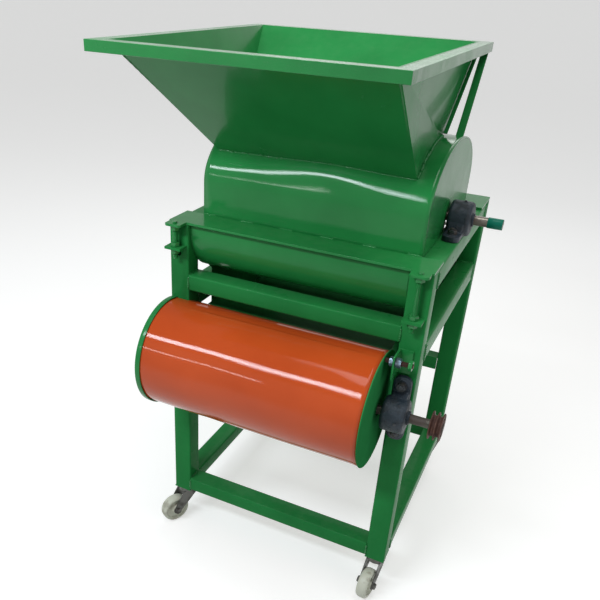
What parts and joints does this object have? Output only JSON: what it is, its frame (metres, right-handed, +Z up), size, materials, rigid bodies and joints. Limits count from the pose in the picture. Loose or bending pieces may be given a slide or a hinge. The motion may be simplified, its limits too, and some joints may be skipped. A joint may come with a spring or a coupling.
{
  "type": "peanut sheller",
  "caption": "Motor-driven peanut sheller on casters: hopper lid over a bar rotor and concave screen, with an orange blower drum in front.",
  "frame": {"origin": "middle of the bounding box, at floor level", "axes": "+Z up, -Y towards the front with the blower drum, +X towards the drive side"},
  "size_m": [0.7844, 0.83, 1.295],
  "materials": {
    "frame_green": "gloss",
    "drum_orange": "gloss",
    "bearing_casting": "painted satin",
    "sleeve_teal": "satin",
    "nylon": "satin",
    "rusty_iron": "rusty",
    "bare_steel": "oiled",
    "zinc_plated": "plated"
  },
  "bodies": {
    "frame": {"leg_front_left": "frame_green", "leg_front_right": "frame_green", "leg_rear_left": "frame_green", "leg_rear_right": "frame_green", "rail_top_front": "frame_green", "rail_top_rear": "frame_green", "rail_bottom_front": "frame_green", "rail_bottom_rear": "frame_green", "rail_middle_front": "frame_green", "rail_motor": "frame_green", "rail_top_left": "frame_green", "rail_middle_left": "frame_green", "rail_bottom_left": "frame_green", "rail_top_right": "frame_green", "rail_middle_right": "frame_green", "rail_bottom_right": "frame_green", "casing_side_left": "frame_green", "casing_side_right": "frame_green", "casing_apron": "frame_green", "concave_screen": "bare_steel", "kernel_chute": "frame_green", "hull_spout": "frame_green", "rotor_bearing_left": "bearing_casting", "fan_bearing_left": "bearing_casting", "rotor_bearing_right": "bearing_casting", "fan_bearing_right": "bearing_casting", "fan_shroud": "drum_orange", "fan_rim": "frame_green", "fan_inlet_plate": "frame_green", "fan_end_plate": "frame_green", "fan_duct": "frame_green", "drum_bolt": "zinc_plated", "drum_bracket": "frame_green", "hinge_base_left": "frame_green", "lid_stud_left": "zinc_plated", "hinge_base_right": "frame_green", "lid_stud_right": "zinc_plated"},
    "rotor": {"rotor_shaft": "bare_steel", "rotor_bars": "frame_green", "rotor_shaft_sleeve": "sleeve_teal"},
    "fan": {"fan_shaft": "rusty_iron", "fan_impeller": "bare_steel", "fan_pulley": "rusty_iron"},
    "lid": {"cover_shell": "frame_green", "cover_end_left": "frame_green", "cover_end_right": "frame_green", "hopper_funnel": "frame_green", "hopper_rim": "frame_green", "hinge_leaf_left": "frame_green", "hinge_leaf_right": "frame_green"},
    "fork_front_left": {"caster_fork_front_left": "zinc_plated"},
    "wheel_front_left": {"caster_wheel_front_left": "nylon"},
    "fork_front_right": {"caster_fork_front_right": "zinc_plated"},
    "wheel_front_right": {"caster_wheel_front_right": "nylon"},
    "fork_rear_left": {"caster_fork_rear_left": "zinc_plated"},
    "wheel_rear_left": {"caster_wheel_rear_left": "nylon"},
    "fork_rear_right": {"caster_fork_rear_right": "zinc_plated"},
    "wheel_rear_right": {"caster_wheel_rear_right": "nylon"}
  },
  "joints": [
    {"name": "rotor_spin", "type": "hinge", "parent": "frame", "child": "rotor", "pos_m": [-0.00185, 0.05865, 0.9388], "axis": [1, 0, 0], "continuous": true},
    {"name": "fan_spin", "type": "hinge", "parent": "frame", "child": "fan", "pos_m": [-0.00185, -0.27815, 0.584], "axis": [1, 0, 0], "continuous": true},
    {"name": "lid_hinge", "type": "hinge", "parent": "frame", "child": "lid", "pos_m": [-0.00185, 0.40795, 0.9053], "axis": [-1, 0, 0], "range_deg": [0, 80]},
    {"name": "swivel_front_left", "type": "hinge", "parent": "frame", "child": "fork_front_left", "pos_m": [-0.28935, -0.21635, 0.1], "axis": [0, 0, 1], "continuous": true},
    {"name": "wheel_spin_front_left", "type": "hinge", "parent": "fork_front_left", "child": "wheel_front_left", "pos_m": [-0.31035, -0.25272, 0.04], "axis": [0.866, -0.5, 0], "continuous": true},
    {"name": "swivel_front_right", "type": "hinge", "parent": "frame", "child": "fork_front_right", "pos_m": [0.28565, -0.21635, 0.1], "axis": [0, 0, 1], "continuous": true},
    {"name": "wheel_spin_front_right", "type": "hinge", "parent": "fork_front_right", "child": "wheel_front_right", "pos_m": [0.2798, -0.25794, 0.04], "axis": [0.9903, -0.1392, 0], "continuous": true},
    {"name": "swivel_rear_left", "type": "hinge", "parent": "frame", "child": "fork_rear_left", "pos_m": [-0.28935, 0.37365, 0.1], "axis": [0, 0, 1], "continuous": true},
    {"name": "wheel_spin_rear_left", "type": "hinge", "parent": "fork_rear_left", "child": "wheel_rear_left", "pos_m": [-0.30022, 0.33308, 0.04], "axis": [0.9659, -0.2588, 0], "continuous": true},
    {"name": "swivel_rear_right", "type": "hinge", "parent": "frame", "child": "fork_rear_right", "pos_m": [0.28565, 0.37365, 0.1], "axis": [0, 0, 1], "continuous": true},
    {"name": "wheel_spin_rear_right", "type": "hinge", "parent": "fork_rear_right", "child": "wheel_rear_right", "pos_m": [0.26924, 0.33499, 0.04], "axis": [0.9205, -0.3907, 0], "continuous": true}
  ]
}
